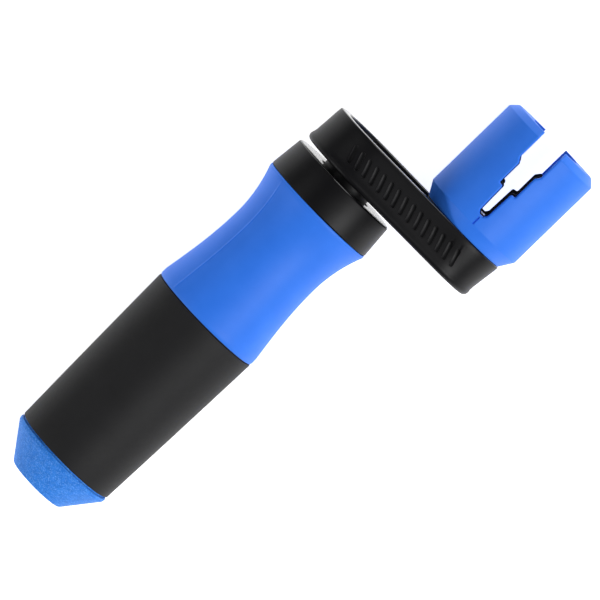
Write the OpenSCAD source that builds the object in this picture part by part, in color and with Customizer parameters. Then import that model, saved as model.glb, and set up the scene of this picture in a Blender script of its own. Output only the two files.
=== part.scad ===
// String winder: a palm-sized handle with a crank that spins in it on two ball bearings.
// The winding head stands on the crank's free end, and its stepped slots take tuner buttons.
//
// The winder is drawn standing on its end cap, in "stations": heights above the cap's flat end.
// lay() then puts it on its side: handle axis along +Y, crank arm towards +X, head's front up.

/* [Handle] */
// Radius of the cap's flat end
cap_end_r = 8.8; // [8:0.1:11]
// Radius of the cap's band, where it meets the grip
cap_r = 16.1; // [15.5:0.1:16.6]
// Station where the cap's cone reaches its band
cap_cone_top = 9.6; // [8:0.1:10.1]
// Station where the cap ends and the grip begins
grip_start = 11.2; // [11:0.1:13]
// Station where the grip ends and the bare waist begins
grip_end = 64.5; // [62:0.5:64.5]
// Grip radius at its lower end
grip_r_low = 16; // [15.5:0.1:16.6]
// Grip radius at its upper end
grip_r_high = 17.35; // [16.8:0.05:18]
// Smallest radius of the waist
waist_r = 14.9; // [14.4:0.1:15.5]
// Station of the smallest radius
waist_station = 91; // [86:0.5:95]
// Radius of the flange on top of the waist
flange_r = 17.75; // [17.2:0.05:18.5]
// Station of the flange's top, where the collar sits
flange_top = 107; // [106:0.5:108]

/* [Collar] */
// Height of the black collar
collar_h = 10; // [9.6:0.1:11]
// Collar radius at its top
collar_top_r = 16.8; // [16:0.1:17.7]
// Radius of the collar's opening round the crank's neck
collar_opening_r = 8.6; // [8.4:0.1:9]

/* [Bearings] */
// Bearing bore radius, which is also the axle's radius
axle_r = 3; // [2.5:0.1:3]
// Bearing outer radius
bearing_r = 9.5; // [9.3:0.1:9.8]
// Bearing width
bearing_w = 6; // [5.8:0.1:6.4]
// Station of the lower bearing's lower face
low_bearing = 66; // [64:1:70]
// Number of balls in a bearing
ball_count = 7; // [5:1:7]

/* [Crank] */
// Distance from the handle's axis to the head's axis
crank_offset = 31.5; // [31:0.1:34]
// Gap between the collar and the arm
neck_gap = 1.8; // [1.5:0.1:3]
// Radius of the neck in that gap
neck_r = 7.9; // [7:0.1:8]
// Height of the arm
arm_h = 12.2; // [11:0.1:13]
// Radius of the arm's handle end at its bottom
arm_big_low = 16.35; // [15:0.05:17]
// Radius of the arm's handle end at its rim
arm_big_rim = 15.2; // [14.5:0.05:16]
// Radius of the arm's head end at its bottom
arm_small_low = 12.65; // [12:0.05:13.5]
// Radius of the arm's head end at its rim
arm_small_rim = 13.65; // [13.45:0.05:14.5]
// Thickness of the arm's wall at the rim
arm_wall = 3.2; // [2.6:0.1:3.6]
// Thickness of the arm's deck under the pocket
arm_deck = 4.3; // [4:0.1:4.6]

/* [Head] */
// Height of the head above the arm
head_h = 34.6; // [33:0.2:38]
// Radius of the head's side wall
head_r = 15.75; // [15.5:0.05:17]
// Radius of the head's base, below its chamfer
head_base_r = 13.4; // [12.8:0.1:13.5]
// Radius of the head's mouth, inside its chamfer
head_mouth_r = 13.8; // [13.5:0.1:14.2]
// Length of the cavity in the shell, from front to back
cavity_l = 25.6; // [24:0.2:26]
// Width of the cavity in the shell
cavity_w = 16; // [14:0.2:18]
// Thickness of the rubber lining
liner_wall = 1.5; // [1.2:0.1:1.8]
// Depth of the lining's top edge below the mouth
liner_drop = 9.2; // [1:0.1:9.4]
// Half width of the slot at the mouth
slot_top = 3.95; // [3.5:0.05:4.5]
// Half width of the slot's middle step
slot_middle = 2.95; // [2.6:0.05:3.2]
// Half width of the slot's lowest step
slot_low = 1.6; // [1.5:0.05:1.8]
// Depth at which the top step ends
slot_top_depth = 10.6; // [10.4:0.1:11.4]
// Depth at which the middle step ends
slot_middle_depth = 17.85; // [16:0.05:19]
// Depth of the slot's bottom
slot_depth = 27.5; // [25:0.1:28]

/* [Hidden] */
$fn = 96;
eps = 0.01;

blue = "#2f62dc";
charcoal = "#3a3a3c";
black = "#1c1c1e";
steel = "#b9bcc0";
brass = "#c9a44a";

// Inside the handle: the tube under the grip, its bore, and the spigot that carries the collar
core_r = 13;
spigot_r = 13.2;
mid_bore_r = 8;
circlip_t = 1;
circlip_gap = 6;
circlip_groove_r = 10.2;
edge = 0.4;
waist_lead = 2;
flange_land = 0.8;
cap_wall = 2;
cap_floor = 3;
plug_l = 7;

// Bearing: rings, shields, balls and cage, with a running clearance between the balls and rings
collar_lip = 1.5;
collar_top = flange_top + collar_h;
high_bearing = collar_top - collar_lip - bearing_w;
pitch_r = 6.25;
ball_r = 1.72;
groove_r = 1.8;
inner_shoulder_r = 5;
outer_shoulder_r = 7.5;
shield_t = 0.3;
shield_inset = 0.2;
shield_seat_r = 8.2;
shield_gap = 0.3;
cage_t = 1.3;
cage_h = 4.4;
cage_play = 0.08;

// Crank stack
arm_bottom = collar_top + neck_gap;
arm_top = arm_bottom + arm_h;
pocket_floor = arm_bottom + arm_deck;
arm_round_r = 1.2;
arm_round_h = 1.4;
arm_round_step = 22.5;
pocket_draft = 0.3;
neck_overlap = 1;
spacer_r = 4.6;
axle_l = 70;
axle_head_r = 5.4;
axle_head_h = 3.6;
socket_r = 2.3;
socket_floor = 1.6;
washer_r = 6.2;
washer_t = 1;
axle_top = pocket_floor + washer_t;
nut_h = 5;
nut_flats = 10;
nut_top = low_bearing - washer_t;
nut_insert_r = 4.4;
nut_insert_h = 1.3;

// Slanted flutes along both flat sides of the arm
flute_count = 15;
flute_pitch = 2.8;
flute_start = -5.6;
flute_slant = 20;
flute_h = 5.4;
flute_w = 1.3;
flute_depth = 0.45;
arm_big_mid = (arm_big_low + arm_big_rim) / 2;
arm_small_mid = (arm_small_low + arm_small_rim) / 2;
side_angle = asin((arm_big_mid - arm_small_mid) / crank_offset);
side_l = crank_offset * cos(side_angle);

// Head
head_top = arm_top + head_h;
cavity_floor = arm_top + 4.2;
liner_floor = cavity_floor + 2;
base_chamfer_h = 3.9;
mouth_chamfer = head_r - head_mouth_r;
slot_bevel = 1.4;
slot_corner = 0.4;
slot_taper = 0.25;
slot_bottom = 0.9;
liner_lip = 0.25;
screw_r = 2;
screw_l = 12;
screw_head_r = 3.6;
screw_head_h = 2.1;
screw_washer_r = 4.5;
screw_washer_t = 0.8;
recess_l = 4;
recess_w = 0.8;
recess_depth = 1;
screw_seat = cavity_floor + screw_washer_t;
insert_r = 3.2;
insert_l = 8;
insert_relief = 2;

// Turns the standing winder onto its side
module lay() rotate([-90, 0, 0]) children();

// A ring, or a disc with a hole, from station z0 to z1
module ring(r_out, r_in, z0, z1) translate([0, 0, z0]) difference() {
    cylinder(r = r_out, h = z1 - z0);
    translate([0, 0, -eps]) cylinder(r = r_in, h = z1 - z0 + 2 * eps);
}

// Waist radius at a station: a long sine slope below the smallest radius, a flare above it
function slope_part(z) = max(0, z - grip_end - waist_lead) / (waist_station - grip_end - waist_lead);
function flare_part(z) = (z - waist_station) / (flange_top - flange_land - waist_station);
function waist(z) = z < waist_station
    ? grip_r_high - (grip_r_high - waist_r) * sin(90 * slope_part(z))
    : waist_r + (flange_r - waist_r) * pow(flare_part(z), 2);

// Stations of count + 1 points spread evenly from a to b
function spread(a, b, count) = [for (i = [0 : count]) a + (b - a) * i / count];

/* ---- Handle ---- */

module handle_core() color(blue) lay() rotate_extrude() polygon(concat(
    [[bearing_r, grip_start], [core_r, grip_start], [core_r, grip_end]],
    [[grip_r_high - edge / 2, grip_end]],
    [for (z = spread(grip_end + edge / 2, waist_station - waist_lead, 12)) [waist(z), z]],
    [for (z = spread(waist_station, flange_top - flange_land, 8)) [waist(z), z]],
    [[flange_r, flange_top], [spigot_r, flange_top], [spigot_r, high_bearing + bearing_w],
     [bearing_r, high_bearing + bearing_w], [bearing_r, high_bearing], [mid_bore_r, high_bearing],
     [mid_bore_r, low_bearing + bearing_w], [bearing_r, low_bearing + bearing_w],
     [bearing_r, low_bearing], [circlip_groove_r, low_bearing],
     [circlip_groove_r, low_bearing - circlip_t], [bearing_r, low_bearing - circlip_t]]));

module rubber_grip() color(charcoal) lay() rotate_extrude() polygon([
    [core_r, grip_start], [grip_r_low - edge, grip_start], [grip_r_low, grip_start + edge],
    [grip_r_high, grip_end - edge], [grip_r_high - edge, grip_end], [core_r, grip_end]]);

module end_cap() color(blue) lay() rotate_extrude() polygon([
    [0, 0], [cap_end_r - edge, 0], [cap_end_r, edge], [cap_r - edge / 2, cap_cone_top],
    [cap_r, cap_cone_top + edge], [cap_r, grip_start - edge], [cap_r - edge, grip_start],
    [bearing_r, grip_start], [bearing_r, grip_start + plug_l],
    [bearing_r - cap_wall, grip_start + plug_l], [bearing_r - cap_wall, cap_floor], [0, cap_floor]]);

module bearing_collar() color(black) lay() rotate_extrude() polygon([
    [spigot_r, flange_top], [flange_r - edge, flange_top], [flange_r, flange_top + edge],
    [collar_top_r, collar_top - edge], [collar_top_r - edge, collar_top],
    [collar_opening_r + edge, collar_top], [collar_opening_r, collar_top - edge],
    [collar_opening_r, high_bearing + bearing_w], [spigot_r, high_bearing + bearing_w]]);

/* ---- Bearings, drawn from their lower face ---- */

module at_bearing(station) lay() translate([0, 0, station]) children();

module ball_groove() translate([0, 0, bearing_w / 2]) rotate_extrude() translate([pitch_r, 0])
    circle(r = groove_r);

module outer_race(station) color(steel) at_bearing(station) difference() {
    ring(bearing_r, outer_shoulder_r, 0, bearing_w);
    ball_groove();
    for (z = [-eps, bearing_w - shield_t - shield_inset])
        translate([0, 0, z]) cylinder(r = shield_seat_r, h = shield_t + shield_inset + eps);
}

module inner_race(station) color(steel) at_bearing(station) difference() {
    ring(inner_shoulder_r, axle_r, 0, bearing_w);
    ball_groove();
}

module shields(station) color(steel) at_bearing(station)
    for (z = [shield_inset, bearing_w - shield_inset - shield_t])
        ring(shield_seat_r, inner_shoulder_r + shield_gap, z, z + shield_t);

module ball_places() translate([0, 0, bearing_w / 2]) for (i = [0 : ball_count - 1])
    rotate([0, 0, i * 360 / ball_count]) translate([pitch_r, 0, 0]) children();

module cage(station) color(brass) at_bearing(station) difference() {
    ring(pitch_r + cage_t / 2, pitch_r - cage_t / 2, (bearing_w - cage_h) / 2, (bearing_w + cage_h) / 2);
    ball_places() rotate([0, 90, 0]) cylinder(r = ball_r + cage_play, h = cage_t + 1, center = true);
}

module balls(station) color(steel) at_bearing(station) ball_places() sphere(r = ball_r);

module upper_outer_race() outer_race(high_bearing);
module lower_outer_race() outer_race(low_bearing);
module upper_inner_race() inner_race(high_bearing);
module lower_inner_race() inner_race(low_bearing);
module upper_shields() shields(high_bearing);
module lower_shields() shields(low_bearing);
module upper_cage() cage(high_bearing);
module lower_cage() cage(low_bearing);
module upper_balls() balls(high_bearing);
module lower_balls() balls(low_bearing);

// The circlip is a ring with a gap, sprung into its groove under the lower bearing
module circlip() color(steel) lay() difference() {
    ring(circlip_groove_r, shield_seat_r, low_bearing - circlip_t, low_bearing);
    translate([0, -circlip_gap / 2, low_bearing - circlip_t - eps])
        cube([circlip_groove_r + 1, circlip_gap, circlip_t + 2 * eps]);
}

/* ---- Axle stack ---- */

module axle_bolt() color(steel) lay() difference() {
    union() {
        translate([0, 0, axle_top - axle_l]) cylinder(r = axle_r, h = axle_l);
        translate([0, 0, axle_top]) cylinder(r = axle_head_r, h = axle_head_h);
    }
    translate([0, 0, axle_top + socket_floor]) cylinder(r = socket_r, h = axle_head_h, $fn = 6);
}

module bolt_washer() color(steel) lay() ring(washer_r, axle_r, pocket_floor, axle_top);

module inner_spacer() color(steel) lay()
    ring(spacer_r, axle_r, low_bearing + bearing_w, high_bearing);

module nut_washer() color(steel) lay()
    ring(spacer_r, axle_r, nut_top, low_bearing);

module lock_nut() color(steel) lay() translate([0, 0, nut_top - nut_h]) difference() {
    cylinder(r = nut_flats / sqrt(3), h = nut_h, $fn = 6);
    translate([0, 0, -eps]) cylinder(r = axle_r, h = nut_h + 2 * eps);
}

module nut_insert() color(blue) lay()
    ring(nut_insert_r, axle_r, nut_top - nut_h - nut_insert_h, nut_top - nut_h);

/* ---- Crank arm ---- */

// One end of the arm's outline: a cone from r_low to r_rim, with an arc at its lower edge
module arm_end(r_low, r_rim) {
    slope = (r_rim - r_low) / arm_h;
    for (a = [0 : arm_round_step : 90 - arm_round_step]) {
        z0 = arm_round_h * (1 - cos(a));
        z1 = arm_round_h * (1 - cos(a + arm_round_step));
        translate([0, 0, z0]) cylinder(h = z1 - z0,
            r1 = r_low + slope * z0 - arm_round_r * (1 - sin(a)),
            r2 = r_low + slope * z1 - arm_round_r * (1 - sin(a + arm_round_step)));
    }
    translate([0, 0, arm_round_h]) cylinder(h = arm_h - arm_round_h,
        r1 = r_low + slope * arm_round_h, r2 = r_rim);
}

module arm_body() hull() {
    arm_end(arm_big_low, arm_big_rim);
    translate([crank_offset, 0, 0]) arm_end(arm_small_low, arm_small_rim);
}

// The open pocket stops at the round platform that the head stands on
module arm_pocket() difference() {
    hull() for (end = [[0, arm_big_rim], [crank_offset, arm_small_rim]])
        translate([end[0], 0, arm_deck]) cylinder(
            r1 = end[1] - arm_wall - pocket_draft, r2 = end[1] - arm_wall, h = arm_h);
    translate([crank_offset, 0, 0]) cylinder(r = head_base_r, h = 2 * arm_h);
}

module flute(r, angle, x, side) rotate([0, 0, -side * angle]) translate([x, side * r, arm_h / 2])
    rotate([0, flute_slant, 0]) cube([flute_w, 2 * flute_depth, flute_h], center = true);

// The flutes follow each side of the arm from one round end, along its flat, to the other
module arm_flutes() for (side = [-1, 1], i = [0 : flute_count - 1]) {
    run = flute_start + i * flute_pitch;
    past = run - side_l;
    if (past < 0)
        flute(arm_big_mid, side_angle + min(0, run) / arm_big_mid * 180 / PI, max(0, run), side);
    else
        translate([crank_offset, 0, 0])
            flute(arm_small_mid, side_angle + past / arm_small_mid * 180 / PI, 0, side);
}

module crank_arm() color(black) lay() difference() {
    union() {
        translate([0, 0, arm_bottom]) difference() {
            arm_body();
            arm_pocket();
            arm_flutes();
        }
        translate([0, 0, collar_top - neck_overlap])
            cylinder(r = neck_r, h = neck_gap + neck_overlap + eps);
        translate([0, 0, collar_top - collar_lip]) cylinder(r = spacer_r, h = neck_overlap);
    }
    translate([0, 0, collar_top - 2 * collar_lip]) cylinder(r = axle_r, h = arm_h);
    translate([crank_offset, 0, arm_top - insert_l]) cylinder(r = insert_r, h = insert_l + 1);
    translate([crank_offset, 0, arm_top - insert_l - insert_relief])
        cylinder(r = screw_r, h = insert_l);
}

/* ---- Head ---- */

module at_head() lay() translate([crank_offset, 0, 0]) children();

// A bar with round ends, longest towards the front and back
module oblong(length, width, z0, z1) translate([0, 0, z0]) linear_extrude(z1 - z0) {
    square([width, length - width], center = true);
    for (s = [-1, 1]) translate([0, s * (length - width) / 2]) circle(d = width);
}

// Half of the slot's outline, x to the right and y down from the mouth, narrowed by lip
function slot_half(lip) = [
    [slot_top - lip, -1],
    [slot_top - lip, slot_top_depth - slot_bevel],
    [slot_middle - lip, slot_top_depth],
    [slot_middle - lip, slot_middle_depth - slot_corner - 2 * lip],
    [slot_middle - lip - slot_corner, slot_middle_depth - 2 * lip],
    [slot_low - lip, slot_middle_depth - 2 * lip],
    [slot_low - lip - slot_taper, slot_depth - lip - slot_bottom],
    [slot_low - lip - slot_bottom, slot_depth - lip]];

// The stepped slot, cut through both walls
module slot(lip = 0) translate([0, head_r + 1, head_top]) rotate([90, 0, 0])
    linear_extrude(2 * head_r + 2) for (side = [-1, 1])
        polygon(concat([for (p = slot_half(lip)) [side * p[0], -p[1]]], [[0, lip - slot_depth], [0, 1]]));

module head_shell() color(blue) at_head() difference() {
    rotate_extrude() polygon([
        [0, arm_top], [head_base_r, arm_top], [head_r, arm_top + base_chamfer_h],
        [head_r, head_top - mouth_chamfer], [head_mouth_r, head_top], [0, head_top]]);
    oblong(cavity_l, cavity_w, cavity_floor, head_top + 1);
    slot();
    translate([0, 0, arm_top - 1]) cylinder(r = screw_r, h = cavity_floor - arm_top + 2);
}

module head_liner() color(black) at_head() difference() {
    oblong(cavity_l, cavity_w, cavity_floor, head_top - liner_drop);
    oblong(cavity_l - 2 * liner_wall, cavity_w - 2 * liner_wall, liner_floor, head_top);
    slot(liner_lip);
    translate([0, 0, cavity_floor - 1]) cylinder(r = screw_washer_r, h = liner_floor - cavity_floor + 2);
}

module head_screw_washer() color(steel) at_head()
    ring(screw_washer_r, screw_r, cavity_floor, screw_seat);

module head_screw() color(steel) at_head() difference() {
    union() {
        translate([0, 0, screw_seat - screw_l]) cylinder(r = screw_r, h = screw_l);
        translate([0, 0, screw_seat]) cylinder(r = screw_head_r, h = screw_head_h);
    }
    for (a = [0, 90]) rotate([0, 0, a])
        translate([-recess_l / 2, -recess_w / 2, screw_seat + screw_head_h - recess_depth])
            cube([recess_l, recess_w, recess_depth + 1]);
}

module arm_insert() color(brass) at_head() ring(insert_r, screw_r, arm_top - insert_l, arm_top);

handle_core();
rubber_grip();
end_cap();
bearing_collar();
upper_outer_race();
lower_outer_race();
upper_shields();
lower_shields();
circlip();
upper_cage();
upper_balls();
lower_cage();
lower_balls();
crank_arm();
axle_bolt();
bolt_washer();
upper_inner_race();
lower_inner_race();
inner_spacer();
nut_washer();
lock_nut();
nut_insert();
head_shell();
head_liner();
head_screw();
head_screw_washer();
arm_insert();
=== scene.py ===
"""String winder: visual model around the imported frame. Handle axis +Y, crank arm +X, +Z up."""
import math

import bmesh
import bpy
from mathutils import Matrix, Vector


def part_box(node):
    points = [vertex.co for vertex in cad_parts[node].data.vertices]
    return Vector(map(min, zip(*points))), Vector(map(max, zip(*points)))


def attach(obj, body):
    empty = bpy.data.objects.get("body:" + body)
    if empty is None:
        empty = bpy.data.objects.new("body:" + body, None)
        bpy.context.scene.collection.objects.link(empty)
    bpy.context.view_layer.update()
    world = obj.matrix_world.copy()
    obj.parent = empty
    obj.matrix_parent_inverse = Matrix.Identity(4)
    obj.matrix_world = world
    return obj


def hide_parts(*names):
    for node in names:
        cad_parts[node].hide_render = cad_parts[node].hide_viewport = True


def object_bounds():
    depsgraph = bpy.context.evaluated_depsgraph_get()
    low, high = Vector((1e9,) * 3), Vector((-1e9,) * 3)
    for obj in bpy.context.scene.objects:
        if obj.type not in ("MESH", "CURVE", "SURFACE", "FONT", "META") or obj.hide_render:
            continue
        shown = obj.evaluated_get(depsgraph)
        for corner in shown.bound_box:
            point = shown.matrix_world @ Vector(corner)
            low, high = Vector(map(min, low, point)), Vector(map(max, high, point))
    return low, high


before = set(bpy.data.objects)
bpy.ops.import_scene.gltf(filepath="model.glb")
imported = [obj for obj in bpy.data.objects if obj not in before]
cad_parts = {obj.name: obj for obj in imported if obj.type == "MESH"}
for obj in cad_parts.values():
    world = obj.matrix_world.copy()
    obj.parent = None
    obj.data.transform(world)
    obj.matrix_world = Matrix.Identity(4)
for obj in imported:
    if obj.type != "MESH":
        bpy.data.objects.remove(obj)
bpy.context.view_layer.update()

MM = 0.001

# ---- Places taken from the frame, in millimetres -------------------------------------------


def mm_box(node):
    low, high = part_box(node)
    return [v / MM for v in low], [v / MM for v in high]


CAP_HIGH = mm_box("end_cap")[1]
GRIP_LOW, GRIP_HIGH = mm_box("rubber_grip")
CORE_HIGH = mm_box("handle_core")[1]
COLLAR_LOW, COLLAR_HIGH = mm_box("bearing_collar")
HEAD_LOW, HEAD_HIGH = mm_box("head_shell")
LINER_LOW, LINER_HIGH = mm_box("head_liner")

GRIP_START = GRIP_LOW[1]
GRIP_END = GRIP_HIGH[1]
GRIP_R_LOW = 16.0
GRIP_R_HIGH = GRIP_HIGH[0]
CAP_END_R = 8.8
CAP_R = CAP_HIGH[0]
CAP_CONE_TOP = 9.6
FLANGE_R = CORE_HIGH[0]
FLANGE_TOP = COLLAR_LOW[1]
COLLAR_TOP = COLLAR_HIGH[1]
COLLAR_TOP_R = 16.8
COLLAR_OPENING_R = 8.6
WAIST_R = 14.9
WAIST_STATION = 91.0
BORE_R = 9.5
CORE_R = 13.0
SPIGOT_R = 13.2
MID_BORE_R = 8.0
BEARING_W = 6.0
LOW_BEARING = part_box("lower_outer_race")[0].y / MM
HIGH_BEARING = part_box("upper_outer_race")[0].y / MM

HEAD_X = (HEAD_LOW[0] + HEAD_HIGH[0]) / 2
HEAD_R = (HEAD_HIGH[0] - HEAD_LOW[0]) / 2
HEAD_BASE = HEAD_LOW[1]
HEAD_TOP = HEAD_HIGH[1]
HEAD_BASE_R = 13.4
HEAD_MOUTH_R = 13.8
CAVITY_FLOOR = LINER_LOW[1]
LINER_TOP = LINER_HIGH[1]
CAVITY = (LINER_HIGH[2] - LINER_LOW[2], LINER_HIGH[0] - LINER_LOW[0])
LINER_WALL = 1.5
LINER_FLOOR = CAVITY_FLOOR + 2.0
SCREW_HOLE_R = 4.5

NECK_GAP = 1.8
ARM_BOTTOM = COLLAR_TOP + NECK_GAP
ARM_TOP = HEAD_BASE
ARM_H = ARM_TOP - ARM_BOTTOM
ARM_BIG_R = (16.35, 15.2)
ARM_SMALL_R = (12.65, 13.65)
ARM_WALL = 3.2
ARM_DECK = 4.3
NECK_R = 7.9
AXLE_SHOULDER_R = 4.6
ARM_FOOT_ROUND = (1.2, 1.4)
ARM_RIM_ROUND = 0.45
POCKET_ROUND = 1.0

# ---- Mesh helpers ---------------------------------------------------------------------------


def fillet(points, steps=5):
    """Rounds a 2D outline. Each point is (a, b, radius); a closed loop comes back."""
    out = []
    count = len(points)
    for i, (a, b, radius) in enumerate(points):
        here = Vector((a, b))
        if radius <= 0:
            out.append(here)
            continue
        back = (Vector(points[i - 1][:2]) - here)
        ahead = (Vector(points[(i + 1) % count][:2]) - here)
        half = back.angle(ahead) / 2
        reach = min(radius / math.tan(half), back.length * 0.49, ahead.length * 0.49)
        r = reach * math.tan(half)
        centre = here + (back.normalized() + ahead.normalized()).normalized() * r / math.sin(half)
        start = here + back.normalized() * reach - centre
        end = here + ahead.normalized() * reach - centre
        turn = start.angle_signed(end)
        for k in range(steps + 1):
            t = -turn * k / steps
            out.append(centre + Vector((start.x * math.cos(t) - start.y * math.sin(t),
                                        start.x * math.sin(t) + start.y * math.cos(t))))
    return out


def angles(count, fine=()):
    """Turning angles in radians, with extra ones close to each angle in fine (in degrees)."""
    turns = [2 * math.pi * i / count for i in range(count)]
    for f in fine:
        for d in (-0.9, -0.45, 0.0, 0.45, 0.9):
            turns.append(math.radians(f + d) % (2 * math.pi))
    return sorted(set(round(t, 5) for t in turns))


def lathe(profile, turns, centre_x=0.0, ridge=None):
    """Turns a closed outline of (radius, station) about +Y through centre_x. 0 is the front."""
    bm = bmesh.new()
    rings = []
    for point in profile:
        r, s = point[0], point[1]
        if r < 1e-6:
            rings.append([bm.verts.new((centre_x * MM, s * MM, 0))])
            continue
        row = []
        for t in turns:
            rr = r + (ridge(t, r, s) if ridge else 0.0)
            place = (centre_x + rr * math.sin(t), s, rr * math.cos(t))
            row.append(bm.verts.new([v * MM for v in place]))
        rings.append(row)
    n = len(turns)
    for i, ring in enumerate(rings):
        other = rings[(i + 1) % len(rings)]
        if len(ring) == 1 and len(other) == 1:
            continue
        for k in range(n):
            j = (k + 1) % n
            if len(ring) == 1:
                bm.faces.new((ring[0], other[k], other[j]))
            elif len(other) == 1:
                bm.faces.new((ring[k], other[0], ring[j]))
            else:
                bm.faces.new((ring[k], other[k], other[j], ring[j]))
    return bm


def loft(rows):
    """Closes a stack of equal loops of 3D points into a solid."""
    bm = bmesh.new()
    rings = [[bm.verts.new(Vector(p) * MM) for p in row] for row in rows]
    n = len(rings[0])
    for a, b in zip(rings, rings[1:]):
        for k in range(n):
            j = (k + 1) % n
            bm.faces.new((a[k], b[k], b[j], a[j]))
    bm.faces.new(rings[0])
    bm.faces.new(list(reversed(rings[-1])))
    return bm


def finish_mesh(bm, name):
    bmesh.ops.recalc_face_normals(bm, faces=bm.faces)
    mesh = bpy.data.meshes.new(name)
    bm.to_mesh(mesh)
    bm.free()
    obj = bpy.data.objects.new(name, mesh)
    bpy.context.scene.collection.objects.link(obj)
    return obj


def smooth(obj, angle=32):
    obj.data.polygons.foreach_set("use_smooth", [True] * len(obj.data.polygons))
    obj.data.set_sharp_from_angle(angle=math.radians(angle))
    return obj


def apply_modifiers(obj):
    bpy.context.view_layer.update()
    evaluated = obj.evaluated_get(bpy.context.evaluated_depsgraph_get())
    mesh = bpy.data.meshes.new_from_object(evaluated)
    obj.modifiers.clear()
    obj.data = mesh
    return obj


def boolean(obj, tool, how):
    mod = obj.modifiers.new("cut", "BOOLEAN")
    mod.operation = how
    mod.solver = "EXACT"
    mod.object = tool
    apply_modifiers(obj)
    bpy.data.objects.remove(tool)
    return obj


def bevel(obj, width, segments=3, angle=35):
    bm = bmesh.new()
    bm.from_mesh(obj.data)
    bmesh.ops.remove_doubles(bm, verts=bm.verts, dist=0.002 * MM)
    bmesh.ops.dissolve_limit(bm, angle_limit=math.radians(0.5), verts=bm.verts, edges=bm.edges)
    bm.to_mesh(obj.data)
    bm.free()
    mod = obj.modifiers.new("bevel", "BEVEL")
    mod.width = width * MM
    mod.segments = segments
    mod.limit_method = "ANGLE"
    mod.angle_limit = math.radians(angle)
    mod.harden_normals = False
    return apply_modifiers(obj)


# ---- Materials ------------------------------------------------------------------------------


class Graph:
    """A small helper that adds and links shader nodes."""

    def __init__(self, name):
        self.material = bpy.data.materials.new(name)
        self.material.use_nodes = True
        self.tree = self.material.node_tree
        self.shader = self.tree.nodes["Principled BSDF"]
        self.place = self.add("ShaderNodeTexCoord").outputs["Object"]

    def add(self, kind, **values):
        node = self.tree.nodes.new(kind)
        for key, value in values.items():
            setattr(node, key, value)
        return node

    def link(self, a, b):
        self.tree.links.new(a, b)

    def noise(self, size_mm, detail=3.0, rough=0.55):
        node = self.add("ShaderNodeTexNoise")
        node.inputs["Scale"].default_value = 1.0 / (size_mm * MM)
        node.inputs["Detail"].default_value = detail
        node.inputs["Roughness"].default_value = rough
        self.link(self.place, node.inputs["Vector"])
        return node.outputs["Fac"]

    def spread(self, value, low, high, start=0.3, end=0.7):
        node = self.add("ShaderNodeMapRange")
        node.inputs["From Min"].default_value = start
        node.inputs["From Max"].default_value = end
        node.inputs["To Min"].default_value = low
        node.inputs["To Max"].default_value = high
        self.link(value, node.inputs["Value"])
        return node.outputs["Result"]

    def blend(self, factor, a, b):
        node = self.add("ShaderNodeMix", data_type="RGBA")
        self.link(factor, node.inputs[0])
        for socket, colour in ((node.inputs[6], a), (node.inputs[7], b)):
            if isinstance(colour, tuple):
                socket.default_value = (*colour, 1.0)
            else:
                self.link(colour, socket)
        return node.outputs[2]

    def bump(self, height, depth_mm, strength=1.0, under=None):
        node = self.add("ShaderNodeBump")
        node.inputs["Strength"].default_value = strength
        node.inputs["Distance"].default_value = depth_mm * MM
        self.link(height, node.inputs["Height"])
        if under:
            self.link(under, node.inputs["Normal"])
        return node.outputs["Normal"]

    def finish(self, colour, roughness, normal=None, metallic=0.0, specular=0.5, ior=1.5):
        inputs = self.shader.inputs
        self.link(colour, inputs["Base Color"])
        self.link(roughness, inputs["Roughness"])
        if normal:
            self.link(normal, inputs["Normal"])
        inputs["Metallic"].default_value = metallic
        inputs["Specular IOR Level"].default_value = specular
        inputs["IOR"].default_value = ior
        return self.material


def moulded(name, dark, light, rough, grain_mm, grain_depth, specular=0.5):
    """A moulded plastic: faint cloudy colour, fine surface grain, a slow waviness."""
    g = Graph(name)
    cloud = g.noise(7.0, 4.0)
    grain = g.noise(grain_mm, 2.0)
    colour = g.blend(g.spread(cloud, 0.0, 1.0), dark, light)
    roughness = g.spread(grain, rough - 0.06, rough + 0.06)
    normal = g.bump(g.noise(14.0, 1.0), 0.05, 0.35)
    normal = g.bump(grain, grain_depth, 1.0, normal)
    return g.finish(colour, roughness, normal, specular=specular)


def sandy(name, dark, mid, light):
    """The cap's skin: sand-cast mottling with pale specks in the hollows."""
    g = Graph(name)
    blotch = g.noise(1.3, 5.0, 0.65)
    speck = g.noise(0.4, 3.0, 0.6)
    colour = g.blend(g.spread(blotch, 0.0, 1.0, 0.38, 0.62), dark, mid)
    colour = g.blend(g.spread(speck, 0.0, 0.8, 0.5, 0.68), colour, light)
    roughness = g.spread(speck, 0.5, 0.75)
    normal = g.bump(blotch, 0.16, 0.6)
    normal = g.bump(speck, 0.07, 0.8, normal)
    return g.finish(colour, roughness, normal, specular=0.2)


def rubber(name, dark, light, rough, grain_mm, depth):
    g = Graph(name)
    cloud = g.noise(9.0, 5.0, 0.6)
    grain = g.noise(grain_mm, 3.0, 0.65)
    colour = g.blend(g.spread(cloud, 0.0, 1.0), dark, light)
    roughness = g.spread(grain, rough - 0.08, rough + 0.08)
    normal = g.bump(grain, depth, 1.0)
    return g.finish(colour, roughness, normal, specular=0.22)


def turned(name, dark, light, rough, stretch=(1.0, 14.0, 1.0)):
    """Metal with fine turning marks across the Y axis."""
    g = Graph(name)
    mapping = g.add("ShaderNodeMapping")
    mapping.inputs["Scale"].default_value = stretch
    g.link(g.place, mapping.inputs["Vector"])
    g.place = mapping.outputs["Vector"]
    marks = g.noise(1.2, 4.0)
    colour = g.blend(g.spread(marks, 0.0, 1.0), dark, light)
    roughness = g.spread(marks, rough - 0.07, rough + 0.1)
    normal = g.bump(marks, 0.01, 0.6)
    return g.finish(colour, roughness, normal, metallic=1.0)


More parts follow.
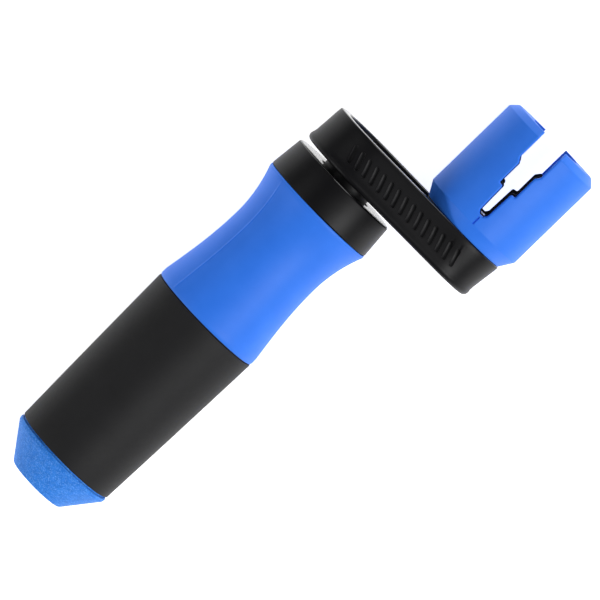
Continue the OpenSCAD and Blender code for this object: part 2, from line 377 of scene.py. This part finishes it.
BLUE = moulded("blue_plastic", (0.031, 0.205, 0.93), (0.037, 0.222, 0.97), 0.5, 0.16, 0.006, 0.24)
CAP_BLUE = sandy("cap_blue", (0.015, 0.18, 0.72), (0.028, 0.24, 0.85), (0.16, 0.45, 1.0))
GRIP_BLACK = rubber("grip_rubber", (0.0125, 0.0125, 0.0135), (0.015, 0.015, 0.0162),
                    0.6, 0.2, 0.012)
INK = ((0.0045, 0.0045, 0.0055), (0.006, 0.006, 0.007))
ARM_BLACK = moulded("black_plastic", *INK, 0.42, 0.14, 0.006, 0.17)
TOP_BLACK = moulded("black_gloss", *INK, 0.14, 0.5, 0.002, 0.5)
LINER_BLACK = rubber("liner_rubber", (0.006, 0.006, 0.006), (0.010, 0.010, 0.010), 0.6, 0.25, 0.01)
STEEL = turned("bearing_steel", (0.55, 0.56, 0.58), (0.66, 0.67, 0.69), 0.2)
ZINC = turned("zinc_steel", (0.5, 0.51, 0.52), (0.64, 0.65, 0.66), 0.32)
ALUMINIUM = turned("aluminium", (0.62, 0.63, 0.64), (0.75, 0.76, 0.77), 0.3)
BRASS = turned("brass", (0.55, 0.38, 0.12), (0.72, 0.53, 0.2), 0.28)
NYLON = moulded("nut_nylon", (0.08, 0.2, 0.5), (0.11, 0.26, 0.6), 0.4, 0.3, 0.004)


def dress(obj, material, body, slot, *nodes):
    obj.data.materials.clear()
    obj.data.materials.append(material)
    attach(obj, body)
    if nodes:
        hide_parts(*nodes)
    return obj


# ---- Handle ---------------------------------------------------------------------------------

SEAM = (-43.3, 136.7)
HANDLE_TURNS = angles(180, SEAM)


def waist_radius(s):
    if s < WAIST_STATION:
        t = max(0.0, s - GRIP_END - 2.0) / (WAIST_STATION - GRIP_END - 2.0)
        return GRIP_R_HIGH - (GRIP_R_HIGH - WAIST_R) * math.sin(math.pi / 2 * t)
    t = (s - WAIST_STATION) / (FLANGE_TOP - 0.8 - WAIST_STATION)
    return min(FLANGE_R, WAIST_R + (FLANGE_R - WAIST_R) * t * t)


def seam_ridge(t, r, s):
    """A fine mould line along both seams of the waist."""
    if not GRIP_END + 0.5 < s < FLANGE_TOP - 1.0 or r < CORE_R + 0.5:
        return 0.0
    off = min(abs((math.degrees(t) - a + 180) % 360 - 180) for a in SEAM)
    return 0.13 * max(0.0, 1 - off / 0.9)


def make_waist():
    steps = 46
    step = (FLANGE_TOP - 1.2 - GRIP_END) / steps
    stations = [GRIP_END + 0.35 + i * step for i in range(steps + 1)]
    curve = [(waist_radius(s), s, 0) for s in stations]
    outline = [(BORE_R, GRIP_START, 0), (CORE_R, GRIP_START, 0), (CORE_R, GRIP_END, 0),
               (GRIP_R_HIGH - 0.2, GRIP_END, 0)]
    outline += curve
    outline += [(FLANGE_R, FLANGE_TOP - 0.45, 0), (FLANGE_R, FLANGE_TOP, 0.2),
                (SPIGOT_R, FLANGE_TOP, 0), (SPIGOT_R, HIGH_BEARING + BEARING_W, 0),
                (BORE_R, HIGH_BEARING + BEARING_W, 0), (BORE_R, HIGH_BEARING, 0),
                (MID_BORE_R, HIGH_BEARING, 0), (MID_BORE_R, LOW_BEARING + BEARING_W, 0),
                (BORE_R, LOW_BEARING + BEARING_W, 0)]
    obj = smooth(finish_mesh(lathe(fillet(outline), HANDLE_TURNS, ridge=seam_ridge), "waist"))
    return dress(obj, BLUE, "handle", "blue_plastic", "handle_core")


def make_grip():
    outline = [(CORE_R, GRIP_START, 0), (GRIP_R_LOW, GRIP_START, 0.35)]
    steps = 12
    for i in range(1, steps):
        t = i / steps
        outline.append((GRIP_R_LOW + (GRIP_R_HIGH - GRIP_R_LOW) * t + 0.06 * math.sin(math.pi * t),
                        GRIP_START + (GRIP_END - GRIP_START) * t, 0))
    outline += [(GRIP_R_HIGH, GRIP_END - 0.25, 0.3), (GRIP_R_HIGH - 0.6, GRIP_END - 0.25, 0.1),
                (GRIP_R_HIGH - 0.6, GRIP_END - 0.05, 0), (CORE_R, GRIP_END - 0.05, 0)]
    obj = smooth(finish_mesh(lathe(fillet(outline), angles(180)), "grip"))
    return dress(obj, GRIP_BLACK, "handle", "grip_rubber", "rubber_grip")


def make_cap():
    plug_top = CAP_HIGH[1]
    outline = [(0, 0, 0), (CAP_END_R, 0, 1.0), (CAP_R - 0.1, CAP_CONE_TOP, 0.8),
               (CAP_R, GRIP_START - 0.5, 0.4), (CAP_R - 0.9, GRIP_START - 0.5, 0.1),
               (CAP_R - 0.9, GRIP_START - 0.05, 0),
               (BORE_R, GRIP_START - 0.05, 0), (BORE_R, plug_top, 0.3), (BORE_R - 2, plug_top, 0),
               (BORE_R - 2, 3, 0), (0, 3, 0)]
    obj = smooth(finish_mesh(lathe(fillet(outline, 8), angles(180)), "cap"))
    return dress(obj, CAP_BLUE, "handle", "cap_rubber", "end_cap")


def polish(obj, top):
    """Gives a black piece's top face, and the rounded edges beside it, a glossier finish."""
    obj.data.materials.append(TOP_BLACK)
    for face in obj.data.polygons:
        if face.normal.y > 0.35 and face.center.y > (top - 0.6) * MM:
            face.material_index = 1
    return obj


def make_collar():
    lip = HIGH_BEARING + BEARING_W
    outline = [(SPIGOT_R, FLANGE_TOP + 0.05, 0), (FLANGE_R, FLANGE_TOP + 0.05, 0.4),
               (COLLAR_TOP_R, COLLAR_TOP, 0.55), (COLLAR_OPENING_R, COLLAR_TOP, 0.4),
               (COLLAR_OPENING_R, lip, 0), (SPIGOT_R, lip, 0)]
    obj = smooth(finish_mesh(lathe(fillet(outline), angles(180)), "collar"))
    return polish(dress(obj, ARM_BLACK, "handle", "black_plastic", "bearing_collar"), COLLAR_TOP)


# ---- Crank arm ------------------------------------------------------------------------------


def obround(big, small, station, arc=40, side=24):
    """The outline round two circles a crank's length apart, as 3D points at one station."""
    tilt = math.asin((big - small) / HEAD_X)
    points = []
    for i in range(arc + 1):
        a = math.pi / 2 - tilt + (math.pi + 2 * tilt) * i / arc
        points.append((big * math.cos(a), station, big * math.sin(a)))
    start, end = points[-1], (HEAD_X + small * math.sin(tilt), station, -small * math.cos(tilt))
    for i in range(1, side):
        points.append(tuple(p + (q - p) * i / side for p, q in zip(start, end)))
    for i in range(arc + 1):
        a = -math.pi / 2 + tilt + (math.pi - 2 * tilt) * i / arc
        points.append((HEAD_X + small * math.cos(a), station, small * math.sin(a)))
    start, end = points[-1], points[0]
    for i in range(1, side):
        points.append(tuple(p + (q - p) * i / side for p, q in zip(start, end)))
    return points


def arm_radii(height):
    t = height / ARM_H
    return (ARM_BIG_R[0] + (ARM_BIG_R[1] - ARM_BIG_R[0]) * t,
            ARM_SMALL_R[0] + (ARM_SMALL_R[1] - ARM_SMALL_R[0]) * t)


def make_arm():
    rows = []
    for a in range(0, 91, 15):
        height = ARM_FOOT_ROUND[1] * (1 - math.cos(math.radians(a)))
        inset = ARM_FOOT_ROUND[0] * (1 - math.sin(math.radians(a)))
        big, small = arm_radii(height)
        rows.append(obround(big - inset, small - inset, ARM_BOTTOM + height))
    # A faint bead stands along the foot; above it the side is drawn in a little
    side_insets = ((1.9, 0.08), (2.5, 0.2), (3.3, 0.26), (6.0, 0.18), (8.5, 0.08), (10.5, 0.0))
    for height, inset in side_insets:
        big, small = arm_radii(height)
        rows.append(obround(big - inset, small - inset, ARM_BOTTOM + height))
    for a in range(0, 91, 30):
        height = ARM_H - ARM_RIM_ROUND * (1 - math.sin(math.radians(a)))
        inset = ARM_RIM_ROUND * (1 - math.cos(math.radians(a)))
        big, small = arm_radii(height)
        rows.append(obround(big - inset, small - inset, ARM_BOTTOM + height))
    arm = finish_mesh(loft(rows), "arm")

    # The pocket, with a rounded floor edge, stopped by the platform under the head
    rows = []
    floor = ARM_BOTTOM + ARM_DECK
    for a in range(0, 91, 18):
        height = POCKET_ROUND * (1 - math.cos(math.radians(a)))
        inset = POCKET_ROUND * (1 - math.sin(math.radians(a)))
        rows.append(obround(ARM_BIG_R[1] - ARM_WALL - 0.3 - inset,
                            ARM_SMALL_R[1] - ARM_WALL - 0.3 - inset, floor + height))
    for height, grow in ((-0.45, 0.0), (-0.3, 0.05), (-0.15, 0.16), (0.0, 0.35), (2.0, 3.0)):
        rows.append(obround(ARM_BIG_R[1] - ARM_WALL + grow, ARM_SMALL_R[1] - ARM_WALL + grow,
                            ARM_TOP + height))
    pocket = finish_mesh(loft(rows), "pocket")
    platform = finish_mesh(lathe([(0, floor - 1), (HEAD_BASE_R, floor - 1),
                                  (HEAD_BASE_R, ARM_TOP + 4), (0, ARM_TOP + 4)],
                                 angles(120), HEAD_X), "platform")
    boolean(pocket, platform, "DIFFERENCE")
    boolean(arm, pocket, "DIFFERENCE")

    # Slanted flutes that follow both sides from round end to round end
    count, pitch, start, depth, tall, wide = 15, 2.8, -5.6, 0.65, 5.4, 1.35
    big, small = sum(ARM_BIG_R) / 2, sum(ARM_SMALL_R) / 2
    tilt = math.asin((big - small) / HEAD_X)
    flat = HEAD_X * math.cos(tilt)
    slant = Matrix.Rotation(math.radians(20), 2)
    levels = []
    for out, grow in ((-depth, -0.22), (-depth + 0.12, -0.04), (0.0, 0.06), (0.35, 0.42)):
        level = []
        for k in range(16):
            a = 2 * math.pi * k / 16
            r = wide / 2 + grow
            level.append(slant @ Vector((r * math.cos(a), r * math.sin(a) + math.copysign(
                (tall - wide) / 2, math.sin(a + 0.01)))))
        levels.append((out, level))
    cutters = bmesh.new()
    for side in (-1, 1):
        for run in (start + i * pitch for i in range(count)):
            if run < flat:
                centre, r, x, turn = 0.0, big, max(0.0, run), tilt + min(0.0, run) / big
            else:
                centre, r, x, turn = HEAD_X, small, 0.0, tilt + (run - flat) / small
            spin = Matrix.Rotation(turn, 3, "Y")
            rings = []
            for out, level in levels:
                ring = []
                for q in level:
                    p = spin @ Vector((x + q.x, 0, r + out))
                    place = Vector((centre + p.x, ARM_BOTTOM + ARM_H / 2 + q.y, side * p.z))
                    ring.append(cutters.verts.new(place * MM))
                rings.append(ring)
            for lower, upper in zip(rings, rings[1:]):
                for k in range(16):
                    j = (k + 1) % 16
                    cutters.faces.new((lower[k], upper[k], upper[j], lower[j]))
            cutters.faces.new(rings[0])
            cutters.faces.new(list(reversed(rings[-1])))
    boolean(arm, finish_mesh(cutters, "flutes"), "DIFFERENCE")

    neck = [(0, COLLAR_TOP - 1.5, 0), (AXLE_SHOULDER_R, COLLAR_TOP - 1.5, 0),
            (AXLE_SHOULDER_R, COLLAR_TOP - 1, 0), (NECK_R, COLLAR_TOP - 1, 0.3),
            (NECK_R, ARM_BOTTOM - 0.5, 0), (NECK_R + 0.7, ARM_BOTTOM, 0),
            (NECK_R + 0.7, ARM_BOTTOM + 1, 0), (0, ARM_BOTTOM + 1, 0)]
    boolean(arm, finish_mesh(lathe(fillet(neck), angles(120)), "neck"), "UNION")
    return polish(dress(smooth(arm, 38), ARM_BLACK, "crank", "black_plastic", "crank_arm"), ARM_TOP)


# ---- Head -----------------------------------------------------------------------------------


def oblong(length, width, low, high, name):
    rows = []
    for station in (low, high):
        row = []
        for k in range(64):
            a = 2 * math.pi * (k + 0.5) / 64
            row.append((HEAD_X + width / 2 * math.cos(a), station,
                        width / 2 * math.sin(a) + math.copysign((length - width) / 2, math.sin(a))))
        rows.append(row)
    return finish_mesh(loft(rows), name)


# Half of each slot as (half width, depth below the head's top, corner radius)
SHELL_SLOT = ((3.95, -3.0, 0), (3.95, 9.2, 0.5), (2.95, 10.6, 0.8), (2.95, 17.85, 0.4),
              (1.6, 17.85, 0.8), (1.35, 26.6, 0.5), (0.6, 27.5, 0.3))
LINER_SLOT = ((3.7, -3.0, 0), (3.7, 9.2, 0.3), (2.7, 10.6, 0.3), (2.7, 17.35, 0.5),
              (1.35, 17.35, 0.8), (1.1, 26.35, 0.4), (0.5, 27.25, 0.2))
EDGE_R = 0.62
HEAD_CHAMFER_H = 3.9


def slot_path(half):
    """The slot's whole outline as (offset from the head's axis, depth), left side first."""
    left = [(-w, d, r) for w, d, r in half]
    ends = left[:1] + [(-0.0, -9.0, 0)] + [(w, d, r) for w, d, r in half[:1]]
    outline = fillet([(w, d, r) for w, d, r in reversed(half)] + [ends[1]] + left, 5)
    cut = next(i for i, p in enumerate(outline) if p.y < -8.5)
    return outline[cut + 1:] + outline[:cut]


def widen(path, grow):
    """Moves an open path outwards from the slot by grow, with mitred corners."""
    out = []
    for i, here in enumerate(path):
        before = (here - path[i - 1]).normalized() if i else (path[1] - here).normalized()
        after = (path[i + 1] - here).normalized() if i + 1 < len(path) else before
        side = (Vector((-before.y, before.x)) + Vector((-after.y, after.x))).normalized()
        out.append(here + side * grow / max(0.5, side.dot(Vector((-before.y, before.x)))))
    return out


def slot_cutter(path, name):
    """A bar with the slot's outline, from front to back through the head."""
    rows = [[(HEAD_X + p.x, HEAD_TOP - p.y, z) for p in path] for z in (-HEAD_R - 2, HEAD_R + 2)]
    return finish_mesh(loft(rows), name)


HEAD_PROFILE = fillet([(0, HEAD_BASE, 0), (HEAD_BASE_R, HEAD_BASE, 0.5),
                       (HEAD_R, HEAD_BASE + HEAD_CHAMFER_H, 0.5),
                       (HEAD_R, HEAD_TOP - (HEAD_R - HEAD_MOUTH_R), 0.5),
                       (HEAD_MOUTH_R, HEAD_TOP, 0.4), (0, HEAD_TOP, 0)])


def head_radius(s):
    """The head's outer radius at a station."""
    for a, b in zip(HEAD_PROFILE[1:-1], HEAD_PROFILE[2:]):
        if a.y <= s <= b.y and b.y > a.y:
            return a.x + (b.x - a.x) * (s - a.y) / (b.y - a.y)
    return HEAD_PROFILE[-2].x


def cavity_front(x):
    """How far the cavity reaches towards the front, x from the head's axis."""
    half = CAVITY[1] / 2
    return (CAVITY[0] - CAVITY[1]) / 2 + math.sqrt(max(0.0, half * half - x * x))


def slot_lip(path, side):
    """The rounded edge round the slot on one face of the head, as a closed strip."""
    steps = 7
    profile = [(EDGE_R * (1 - math.sin(math.pi / 2 * k / steps)),
                EDGE_R * (1 - math.cos(math.pi / 2 * k / steps))) for k in range(steps + 1)]
    offsets = [widen(path, grow) for grow, _ in profile]
    outer = offsets[0]
    rows = []
    for i in range(len(path)):
        row = []
        for (grow, depth), line in zip(profile, offsets):
            p = line[i]
            r = head_radius(HEAD_TOP - p.y)
            row.append((HEAD_X + p.x, HEAD_TOP - p.y,
                        side * (math.sqrt(r * r - p.x * p.x) - depth)))
        for p in (path[i], outer[i]):
            row.append((HEAD_X + p.x, HEAD_TOP - p.y, side * cavity_front(p.x)))
        rows.append(row)
    return finish_mesh(loft(rows), "slot_lip")


def top_of(path):
    """Cuts a path off at the mouth and adds points near it, where the mouth's edge is round."""
    inside = [p for p in path if p.y > 2.2]
    depths = (2.2, 2.05, 1.9, 1.7, 1.0, 0.35, 0.22, 0.12, 0.04, 0.0)
    left = [Vector((inside[0].x, d)) for d in reversed(depths)]
    right = [Vector((inside[-1].x, d)) for d in depths]
    return left + inside + right


def join(obj, *others):
    """Joins closed pieces into one object."""
    bm = bmesh.new()
    for other in (obj, *others):
        bm.from_mesh(other.data)
    bm.to_mesh(obj.data)
    bm.free()
    for other in others:
        bpy.data.objects.remove(other)
    return obj


def make_head():
    path = slot_path(SHELL_SLOT)
    head = finish_mesh(lathe(HEAD_PROFILE, angles(180), HEAD_X), "head")
    boolean(head, oblong(*CAVITY, CAVITY_FLOOR, HEAD_TOP + 3, "cavity"), "DIFFERENCE")
    boolean(head, slot_cutter(widen(path, EDGE_R), "slot"), "DIFFERENCE")
    # A fine mould line runs from the base chamfer to the slot's foot, front and back
    half, inside, outside = 0.25, HEAD_R - 0.4, HEAD_R + 1.25
    section = ((-half, outside), (half, outside), (half, inside), (-half, inside))
    for side in (-1, 1):
        rows = [[(HEAD_X + x, s, side * z) for x, z in section]
                for s in (HEAD_BASE + HEAD_CHAMFER_H, HEAD_TOP - 28.1)]
        boolean(head, finish_mesh(loft(rows), "mould_line"), "DIFFERENCE")
    short = top_of(path)
    join(head, slot_lip(short, 1), slot_lip(short, -1))
    return dress(smooth(head, 30), BLUE, "crank", "blue_plastic", "head_shell")


def make_liner():
    liner = oblong(CAVITY[0], CAVITY[1], CAVITY_FLOOR, LINER_TOP, "liner")
    inner = oblong(CAVITY[0] - 2 * LINER_WALL, CAVITY[1] - 2 * LINER_WALL,
                   LINER_FLOOR, HEAD_TOP + 3, "inner")
    boolean(liner, inner, "DIFFERENCE")
    boolean(liner, slot_cutter(slot_path(LINER_SLOT), "slot"), "DIFFERENCE")
    hole = finish_mesh(lathe([(0, CAVITY_FLOOR - 1), (SCREW_HOLE_R, CAVITY_FLOOR - 1),
                              (SCREW_HOLE_R, LINER_FLOOR + 1), (0, LINER_FLOOR + 1)],
                             angles(64), HEAD_X), "hole")
    boolean(liner, hole, "DIFFERENCE")
    bevel(liner, 0.2, 2, 40)
    return dress(smooth(liner, 30), LINER_BLACK, "crank", "liner_rubber", "head_liner")


make_waist()
make_grip()
make_cap()
make_collar()
make_arm()
make_head()
make_liner()

# ---- CAD nodes that stay, with their finishes -------------------------------------------------

FINISHES = {
    STEEL: ("upper_outer_race", "lower_outer_race", "upper_shields", "lower_shields", "upper_balls",
            "lower_balls", "upper_inner_race", "lower_inner_race"),
    ZINC: ("circlip", "axle_bolt", "bolt_washer", "nut_washer", "lock_nut", "head_screw",
           "head_screw_washer"),
    ALUMINIUM: ("inner_spacer",),
    BRASS: ("upper_cage", "lower_cage", "arm_insert"),
    NYLON: ("nut_insert",),
}
for material, names in FINISHES.items():
    for name in names:
        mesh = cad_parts[name].data
        for i in range(max(1, len(mesh.materials))):
            if i < len(mesh.materials):
                mesh.materials[i] = material
            else:
                mesh.materials.append(material)

# ---- Stage, light and camera ------------------------------------------------------------------

scene = bpy.context.scene
scene.view_settings.view_transform = "Standard"

low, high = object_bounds()


def make_floor():
    size = 2.5
    bm = bmesh.new()
    z = low.z - 0.0004
    signs = ((-1, -1), (1, -1), (1, 1), (-1, 1))
    bm.faces.new([bm.verts.new((x * size, y * size, z)) for x, y in signs])
    floor = finish_mesh(bm, "floor")
    g = Graph("floor_paint")
    shade = g.noise(60.0, 2.0)
    g.finish(g.blend(g.spread(shade, 0.0, 1.0), (0.88, 0.88, 0.88), (0.9, 0.9, 0.9)),
             g.spread(shade, 0.85, 0.95), specular=0.1)
    g.shader.inputs["Emission Color"].default_value = (1, 1, 1, 1)
    g.shader.inputs["Emission Strength"].default_value = 0.85
    floor.data.materials.append(g.material)


def make_light(name, direction, power, size=0.6, distance=1.3):
    """A square softbox that looks at the middle of the winder from one direction."""
    data = bpy.data.lights.new(name, "AREA")
    data.size = size
    data.energy = power
    lamp = bpy.data.objects.new(name, data)
    back = Vector(direction).normalized()
    lamp.location = (low + high) / 2 + back * distance
    lamp.rotation_euler = (-back).to_track_quat("-Z", "Y").to_euler()
    scene.collection.objects.link(lamp)


def make_camera():
    """The handle runs from the frame's lower left to the upper right, seen nearly square on."""
    target = Vector((14.12, 86.33, 0.0)) * MM
    back = Vector((-math.sin(math.radians(0.6)), math.sin(math.radians(4.6)), 1.0)).normalized()
    roll = math.radians(45.7)
    up_hint = Vector((-math.sin(roll), math.cos(roll), 0.0))
    right = up_hint.cross(back).normalized()
    up = back.cross(right)
    data = bpy.data.cameras.new("camera")
    data.sensor_width = 36.0
    data.lens = 348.7
    data.clip_start, data.clip_end = 0.05, 20.0
    camera = bpy.data.objects.new("camera", data)
    camera.matrix_world = Matrix.Translation(target + back * 1.57) @ Matrix(
        (right, up, back)).transposed().to_4x4()
    scene.collection.objects.link(camera)
    scene.camera = camera


make_floor()
make_camera()
make_light("key", (1, 0, 1), 11.3)
make_light("key_high", (0.27, 0, 1), 1.1)
make_light("left", (-1, 0, 1), 1.6)
make_light("cap_left", (-1, -1.5, 0.8), 5.0)
make_light("cap_right", (1, -1, 0.8), 0.4)
make_light("head_low", (0, 1, 0.36), 5.0)

world = bpy.data.worlds.new("world")
scene.world = world
world.use_nodes = True
world.node_tree.nodes["Background"].inputs["Color"].default_value = (1, 1, 1, 1)
world.node_tree.nodes["Background"].inputs["Strength"].default_value = 0.02
